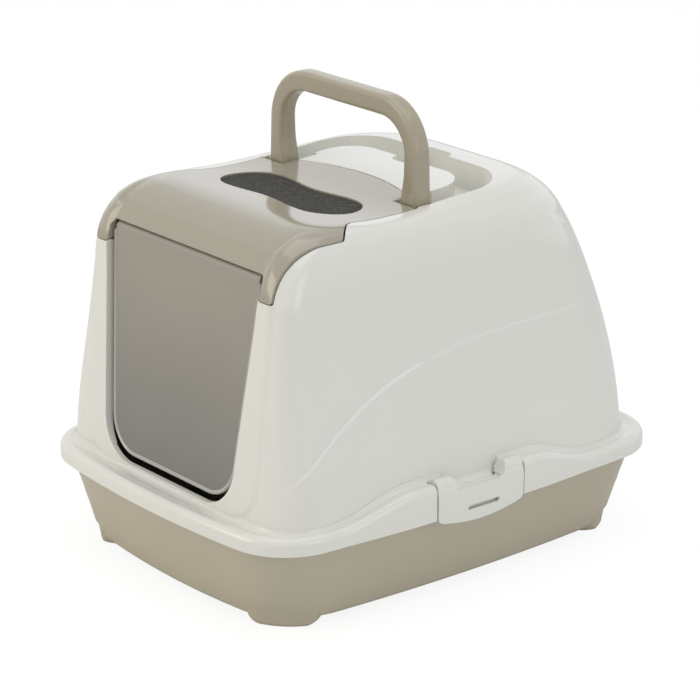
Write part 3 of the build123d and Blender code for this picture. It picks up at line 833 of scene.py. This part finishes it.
def clip_rooms(side):
    """Room for a clip: its plate's recess in the rim, and one sloped pocket for each ear."""
    low, high = CLIP_Y - CLIP_HALF - GAP, CLIP_Y + CLIP_HALF + CLIP_REAR_GAP
    yield block("clip_room", sided(side, CLIP_RECESS, 230), (low, high), (60, 130))
    for end, way in ((low, 1), (high, -1)):
        top, foot_of_slope = end + way * (CLIP_EAR + 1.8), end + way * (CLIP_EAR + 10.3)
        corners = [(end, 103), (end, 131), (top, 131), (foot_of_slope, 108.6), (foot_of_slope, 103)]
        yield prism("ear_room", corners, "x", *sided(side, 181.4, 230))


def make_hood():
    hood = hood_solid("hood_shell", relief=hood_relief)
    inner = hood_solid("hood_inside", WALL)
    carved(hood, ("+", rim_solid("rim")), ("+", wall_fillet("wall_fillet")), ("-", inner))
    carved(hood, ("-", flap_room("flap_gap", GAP)))
    carved(hood, ("-", doorway_prism("doorway", 0.0, DOORWAY_LOW, 333, -300, -120)))
    carved(hood, ("+", doorway_return()))
    low = GROOVE_FLOOR - WALL
    trough = carved(groove_room("groove_wall", WALL, low), ("&", hood_solid("skin")))
    notch = carved(notch_room("notch_wall", WALL, low), ("&", hood_solid("skin")))
    carved(hood, ("+", trough), ("+", notch))
    carved(hood, ("-", groove_room("groove", 0.0, GROOVE_FLOOR)))
    carved(hood, ("-", notch_room("notch", 0.0, GROOVE_FLOOR)))
    for side in (-1, 1):
        carved(hood, *[("-", room) for room in clip_rooms(side)])
        carved(hood, ("-", block("heel_room", sided(side, 76, 115.2), (-21.5, -18.0), (343, 480))))
        x = sided(side, HANDLE_HALF + 0.8, GROOVE[0] + 1)
        carved(hood, ("+", block("boss", x, (-13, 4.5), (336.5, 355.5))))
        carved(hood, ("-", rod("bore", "x", *sided(side, 100, 113.5), *HANDLE_PIVOT, 4.06)))
    return dressed(hood, "base", ["hood", "doorway_surround"], warm_white)


# Flap


def make_flap():
    flap = hood_solid("top_lid", relief=rail_relief, flap=True)
    inner = hood_solid("lid_inside", WALL, flap=True)
    carved(flap, ("-", inner), ("&", flap_room("lid_room", 0.0)))
    carved(flap, ("-", prism("window", peanut_outline(0.0), "z", 300, 480)))
    for side in (-1, 1):
        carved(flap, ("+", rod("pin", "x", *sided(side, FLAP_SIDE - 1, FLAP_SIDE + 5), *FLAP_PIVOT, 2.5)))
        leg = carved(hood_solid("leg_return", 0.3, flap=True), ("-", hood_solid("leg_back", 13.0, flap=True)))
        x = sided(side, DOORWAY_HALF, DOORWAY_HALF + 2.5)
        carved(leg, ("&", block("leg_cut", x, (-300, -165), (LEG_LOW + 1.5, 345))))
        bore = rod("bore", "x", *sided(side, DOORWAY_HALF - 4, DOORWAY_HALF + 3.5), *DOOR_PIVOT, 2.56)
        carved(flap, ("+", leg), ("-", bore))
    return dressed(flap, "flap", ["top_flap"], taupe_gloss)


def make_filter():
    pad = hood_solid("pad", 1.6, flap=True)
    carved(pad, ("&", prism("pad_edge", peanut_outline(-0.3), "z", 344, 480)))
    return dressed(pad, "flap", ["filter_pad"], foam)


# Door


def front_line(z):
    """The front wall's y at height z."""
    return -222.2 + (z - 99) * 22.0 / 207.0


def door_slab(name, front, back, low=DOOR_LOW - 20, high=DOOR_PIVOT[1]):
    points = [(front_line(low) + front, low), (front_line(low) + back, low)]
    points += [(front_line(high) + back, high), (front_line(high) + front, high)]
    return prism(name, points, "x", -200, 200)


def door_outline(name, inset):
    low = DOOR_LOW + inset
    x_low = doorway_half(low) - DOOR_GAP - inset
    x_high = doorway_half(DOOR_SHOULDER) - DOOR_GAP - inset
    x_top = DOOR_TOP_HALF - inset
    right = [(x_low, low), (x_high, DOOR_SHOULDER), (x_top, DOOR_PIVOT[1])]
    corners = [(-x, z) for x, z in right[::-1]] + right
    radius = DOOR_CORNER - inset
    return prism(name, rounded(corners, [0, 3, radius, radius, 3, 0], 14), "y", -260, -150)


def door_border(name):
    """The rounded edge down both sides and along the bottom of the door; its paler material is a painted
    highlight.
    """
    top_x, low_x = doorway_half(DOOR_SHOULDER) - DOOR_GAP, doorway_half(DOOR_LOW) - DOOR_GAP
    corners = [(top_x, DOOR_SHOULDER), (low_x, DOOR_LOW), (-low_x, DOOR_LOW), (-top_x, DOOR_SHOULDER)]
    line = rounded(corners, [0, DOOR_CORNER, DOOR_CORNER, 0], 18)
    ahead = np.gradient(line, axis=0)
    inward = np.stack([ahead[:, 1], -ahead[:, 0]], 1)
    inward /= np.linalg.norm(inward, axis=1)[:, None]
    profile = [(0, 3.4), (0, 0.4), (0.5, -0.5), (1.5, -1.1), (2.8, -1.1), (3.8, -0.5)]
    profile += [(4.4, 0.5), (4.4, 3.4)]
    rings = []
    for (x, z), (mx, mz) in zip(line, inward):
        ring = [(x + mx * a, z + mz * a, h) for a, h in profile]
        rings.append([(px, front_line(pz) + DOOR_RECESS + h, pz) for px, pz, h in ring])
    return turned_out(loft(name, rings))


def make_door():
    door = door_slab("swing_door", DOOR_RECESS, DOOR_RECESS + DOOR_THICK)
    knuckle = rod("knuckle", "x", -DOOR_TOP_HALF, DOOR_TOP_HALF, *DOOR_PIVOT, DOOR_KNUCKLE, 48)
    carved(door, ("&", door_outline("edge", 0.4)), ("+", knuckle))
    for side in (-1, 1):
        carved(door, ("+", rod("pin", "x", *sided(side, 104, 118.7), *DOOR_PIVOT, 2.5)))
    border = door_border("door_edge")
    # Painted highlight: the border takes the paler smoked plastic, not the panel's
    dressed(border, "door", [], smoked_edge_painted_highlight, 40)
    return dressed(door, "door", ["door"], smoked, 40)


# Tray


def level(ring, z):
    """A closed outline brought to 360 points at height z."""
    return np.column_stack([resampled(ring, 360), np.full(360, z)])


def make_tray():
    floor, top, bottom_round = TRAY_FLOOR, TRAY_TOP, 9.0
    profile = []
    for k in range(9):
        t = math.pi / 2 * k / 8
        inset = TRAY_INSET + TRAY_DRAFT + bottom_round * (1 - math.sin(t))
        profile.append((inset, floor + bottom_round * (1 - math.cos(t))))
    for k in range(1, 13):
        z = floor + bottom_round + (top - floor - bottom_round) * k / 12
        profile.append((TRAY_INSET + TRAY_DRAFT * (1 - (z - floor) / (top - floor)), z))
    rings, hollow = [], []
    for inset, z in profile:
        rings.append(level(rim_outline(inset, 60 - 12 * (z - floor) / (top - floor))[0], z))
        open_top = z + TRAY_WALL if z < top - 1 else top + 1
        hollow.append(level(rim_outline(inset + TRAY_WALL, 46)[0], open_top))
    tray = turned_out(loft("tray_shell", rings))
    for side in (-1, 1):
        for end in (-1, 1):
            carved(tray, ("+", foot("foot", side * FOOT_AT[0], end * FOOT_AT[1])))
    lip_ring, lip_normal = rim_outline(3.8, 52)
    lip = [(-9.5, 99.3), (-3.5, 99.3), (-1.0, 98.3), (0, 96), (0, 87), (-2.6, 87), (-2.6, 95.5)]
    lip += [(-4, 96.7), (-9.5, 96.7)]
    carved(tray, ("+", swept("lip", lip_ring, lip_normal, lip)), ("-", loft("hollow", hollow)))
    return dressed(tray, "base", ["tray"], taupe_satin)


def resampled(ring, count):
    """A closed ring of points at even spacing from its first point."""
    closed = np.concatenate([ring, ring[:1]])
    run = np.concatenate([[0], np.cumsum(np.linalg.norm(np.diff(closed, axis=0), axis=1))])
    at = np.linspace(0, run[-1], count, endpoint=False)
    return np.stack([np.interp(at, run, closed[:, k]) for k in (0, 1)], 1)


def foot(name, x, y):
    """A foot under a corner, its outside in line with the tray's wall and rounded under."""
    turn = np.linspace(0, 2 * math.pi, 64, endpoint=False)

    def circle(radius, z):
        return np.column_stack([x + radius * np.cos(turn), y + radius * np.sin(turn), np.full(64, z)])

    bowl, wall = [], []
    foot_inset = TRAY_INSET + TRAY_DRAFT
    for k in range(11):
        t = math.pi / 2 * k / 10
        low, up = 1 - math.sin(t), FOOT_ROUND * (1 - math.cos(t))
        bowl.append(circle(FOOT_RADIUS - 15 * low, 2 * up))
        wall.append(level(rim_outline(foot_inset + 0.6 + FOOT_ROUND * low, 59.5)[0], up))
    bowl += [circle(FOOT_RADIUS, 18.0), circle(FOOT_RADIUS, 19.0)]
    wall.append(level(rim_outline(foot_inset - 1.4, 58.5)[0], 21.0))
    return carved(loft(name, bowl), ("&", loft("foot_side", wall)))


# Handle


def make_handle():
    """An arch swept with a rounded oblong section, wider and deeper towards its feet."""
    path = []
    straight_low, straight_high = 343.0, 398.0
    top = HANDLE_TOP - 9.8
    inner_mid = HANDLE_HALF - 9.2
    radius = top - straight_high
    for z in np.linspace(straight_low, straight_high, 22, endpoint=False):
        path.append((inner_mid, z, 1.0, 0.0))
    for k in range(25):
        t = math.pi / 2 * k / 24
        c, u = math.cos(t), math.sin(t)
        path.append((inner_mid - radius + radius * c, straight_high + radius * u, c, u))
    for x in np.linspace(inner_mid - radius, 0, 16)[1:]:
        path.append((x, top, 0.0, 1.0))
    path += [(-x, z, -nx, nz) for x, z, nx, nz in path[:-1][::-1]]
    rings = []
    for x, z, nx, nz in path:
        foot_part = 1 - step_up(z, 352, 384)
        bar = step_up(abs(nz), 0.2, 1.0)
        outer = 9.2 * (1 - bar) + 9.8 * bar
        inner = 9.0 * (1 - bar) + 9.8 * bar + 4.0 * foot_part
        depth = 9.4 + 1.6 * (1 - step_up(z, 345, 420))
        corners = [(outer, depth), (outer, -depth), (-inner, -depth), (-inner, depth)]
        ring = rounded(corners, HANDLE_EDGE, 5)
        rings.append([(x + nx * a, HANDLE_Y + b, z + nz * a) for a, b in ring])
    handle = turned_out(loft("carry_handle", rings))
    for side in (-1, 1):
        toe = rod("toe", "x", *sided(side, 86.5, HANDLE_HALF - 0.1), HANDLE_Y, HANDLE_PIVOT[1], 10.9, 40)
        pin = rod("pin", "x", *sided(side, 107, 112.5), *HANDLE_PIVOT, 4.0)
        carved(handle, ("+", toe), ("+", pin))
    return dressed(handle, "handle", ["handle"], taupe_grip, 40)


# Clips


def make_clip(side):
    """A side clip: outer plate with two hinge ears, finger slot and hook."""
    low, high = CLIP_Y - CLIP_HALF, CLIP_Y + CLIP_HALF
    slope = CLIP_EAR + 8
    outline = [(low, 84.0), (low, 130), (low + CLIP_EAR, 130), (low + slope, CLIP_DIP)]
    outline += [(high - slope, CLIP_DIP), (high - CLIP_EAR, 130), (high, 130), (high, 84.0)]
    bow = [(high - (high - low) * k / 20, 84.0 - 8.0 * (1 - (k / 10 - 1) ** 2)) for k in range(1, 20)]
    outline = rounded(outline + bow, [6, 0, 8, 6, 6, 8, 0, 6] + [0] * len(bow), 6)

    def trimmed(thing):
        return carved(thing, ("&", prism("clip_outline", outline, "x", 150, 250)))

    outer = [(196.2, 72), (197.6, 84), (198.0, 96), (198.0, 108), (197.0, 113.5), (194.5, 119)]
    outer += [(191.0, 122.6), (188.0, 123.5)]
    inner = [(187.0, 120.5), (190.5, 118.5), (193.0, 114.5), (194.6, 109.0), (195.2, 104), (195.2, 96)]
    inner += [(194.8, 84), (193.6, 72)]
    ear = [(184.4, 104), (196.3, 104), (197.2, 112.5), (195.4, 118.2), (191.4, 122.2), (187, 123.3)]
    ear += [(185.2, 121.4)]
    plate = trimmed(prism("clip", outer + inner, "y", -200, 200))
    for a, b in ((low, low + slope), (high - slope, high)):
        carved(plate, ("+", trimmed(rod("barrel", "y", a, b, *CLIP_PIVOT, 7.0, 40))))
        carved(plate, ("+", trimmed(prism("ear_block", ear, "y", a, b))))
    for a, b in ((low - 5, low + 1), (high - 1, high + 5)):
        carved(plate, ("+", rod("pin", "y", a, b, *CLIP_PIVOT, 2.2)))
    carved(plate, ("+", block("hook", (186.8, 196.5), (low + 8, high - 8), (80.2, 83.2))))
    middle, half = CLIP_Y + 3, 19
    slot = [(middle - half, 87.9), (middle + half, 87.9), (middle + half, 92.1), (middle - half, 92.1)]
    carved(plate, ("-", prism("slot", rounded(slot, 1.9, 5), "x", 185, 220)))
    if side < 0:
        for vertex in plate.data.vertices:
            vertex.co.x *= -1
        turned_out(plate)
    name = "clip_right" if side > 0 else "clip_left"
    plate.name = "side_clip_right" if side > 0 else "side_clip_left"
    return dressed(plate, name, [name], warm_white)


make_hood()
make_flap()
make_filter()
make_door()
make_tray()
make_handle()
make_clip(1)
make_clip(-1)
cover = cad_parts["filter_cover"]
cover.data.materials.clear()
cover.data.materials.append(taupe_satin)


# Camera, light and floor

CAMERA_AZIMUTH = 50.88
CAMERA_RISE = 19.16
CAMERA_DISTANCE = 2.7307
CAMERA_AIM = (0, 0, 0.180)
CAMERA_SHIFT = (-0.00296, 0.00461)  # right and up
FOCAL_PIXELS = 2835.8
FRAME_PIXELS = 700


def studio():
    """Camera at the photograph's place, soft lamps, pale floor, white behind."""
    scene = bpy.context.scene
    azimuth, rise = math.radians(CAMERA_AZIMUTH), math.radians(CAMERA_RISE)
    right = Vector((math.cos(azimuth), math.sin(azimuth), 0))
    back = Vector((math.sin(azimuth) * math.cos(rise), -math.cos(azimuth) * math.cos(rise), math.sin(rise)))
    up = back.cross(right)
    place = Vector(CAMERA_AIM) + back * CAMERA_DISTANCE
    place += right * CAMERA_SHIFT[0] + up * CAMERA_SHIFT[1]
    lens = bpy.data.cameras.new("camera")
    lens.sensor_width = 36
    lens.lens = FOCAL_PIXELS / FRAME_PIXELS * lens.sensor_width
    camera = bpy.data.objects.new("camera", lens)
    camera.matrix_world = Matrix(
        (
            (right.x, up.x, back.x, place.x),
            (right.y, up.y, back.y, place.y),
            (right.z, up.z, back.z, place.z),
            (0, 0, 0, 1),
        )
    )
    scene.collection.objects.link(camera)
    scene.camera = camera

    def lamp(name, at, aim, size, power, tint):
        data = bpy.data.lights.new(name, "AREA")
        data.shape = "RECTANGLE"
        data.size, data.size_y = size
        data.energy = power
        data.color = linear(tint)[:3]
        thing = bpy.data.objects.new(name, data)
        thing.location = at
        thing.rotation_euler = (Vector(aim) - Vector(at)).to_track_quat("-Z", "Y").to_euler()
        thing.visible_camera = False
        scene.collection.objects.link(thing)

    lamp("overhead_softbox", (0.2, 0.1, 2.6), (0, 0, 0.2), (2.4, 2.4), 19, "#FFFFFF")
    lamp("front_softbox", (-1.1, -2.6, 1.3), (0, 0, 0.2), (1.6, 1.6), 21, "#FFF5E0")
    lamp("side_softbox", (2.7, 0.3, 0.9), (0, 0, 0.2), (1.4, 1.4), 8.5, "#FFFFFF")
    lamp("back_softbox", (-1.94, 1.58, 1.26), (0, 0, 0.36), (1.3, 1.1), 0.8, "#DCE6FF")

    world = bpy.data.worlds.new("studio")
    scene.world = world
    world.use_nodes = True
    tree = world.node_tree
    tree.nodes.clear()
    path = add(tree, "ShaderNodeLightPath")
    seen = add(tree, "ShaderNodeMath", operation="MAXIMUM")
    tree.links.new(path.outputs["Is Camera Ray"], seen.inputs[0])
    tree.links.new(path.outputs["Is Glossy Ray"], seen.inputs[1])
    fill = add(tree, "ShaderNodeBackground", Strength=0.53)
    fill.inputs["Color"].default_value = linear("#F4F4F4")
    white = add(tree, "ShaderNodeBackground", Strength=1.0)
    white.inputs["Color"].default_value = (1, 1, 1, 1)
    mix = add(tree, "ShaderNodeMixShader")
    tree.links.new(seen.outputs[0], mix.inputs[0])
    tree.links.new(fill.outputs[0], mix.inputs[1])
    tree.links.new(white.outputs[0], mix.inputs[2])
    add(tree, "ShaderNodeOutputWorld", [("Surface", mix, "Shader")])

    corners = [(-9000, -9000, 0), (9000, -9000, 0), (9000, 9000, 0), (-9000, 9000, 0)]
    ground = mesh_object("floor", corners, [(0, 1, 2, 3)])
    paper = bpy.data.materials.new("white_backdrop_paper")
    paper.use_nodes = True
    tree = paper.node_tree
    tree.nodes.clear()
    place = add(tree, "ShaderNodeTexCoord")
    fibre = add(tree, "ShaderNodeTexNoise", [("Vector", place, "Object")], Scale=1000 / 6.0, Detail=3.0)
    bump = add(tree, "ShaderNodeBump", [("Height", fibre, "Fac")], Strength=0.1, Distance=0.0001)
    matte = add(tree, "ShaderNodeBsdfPrincipled", [("Normal", bump, "Normal")], Roughness=0.9)
    matte.inputs["Base Color"].default_value = linear("#F6F6F6")
    light = add(tree, "ShaderNodeEmission", Strength=1.1)
    path = add(tree, "ShaderNodeLightPath")
    share = add(tree, "ShaderNodeMath", operation="MULTIPLY")
    tree.links.new(path.outputs["Is Camera Ray"], share.inputs[0])
    share.inputs[1].default_value = 0.8
    mix = add(tree, "ShaderNodeMixShader")
    tree.links.new(share.outputs[0], mix.inputs[0])
    tree.links.new(matte.outputs[0], mix.inputs[1])
    tree.links.new(light.outputs[0], mix.inputs[2])
    add(tree, "ShaderNodeOutputMaterial", [("Surface", mix, "Shader")])
    ground.data.materials.append(paper)
    scene.view_settings.view_transform = "Standard"


studio()
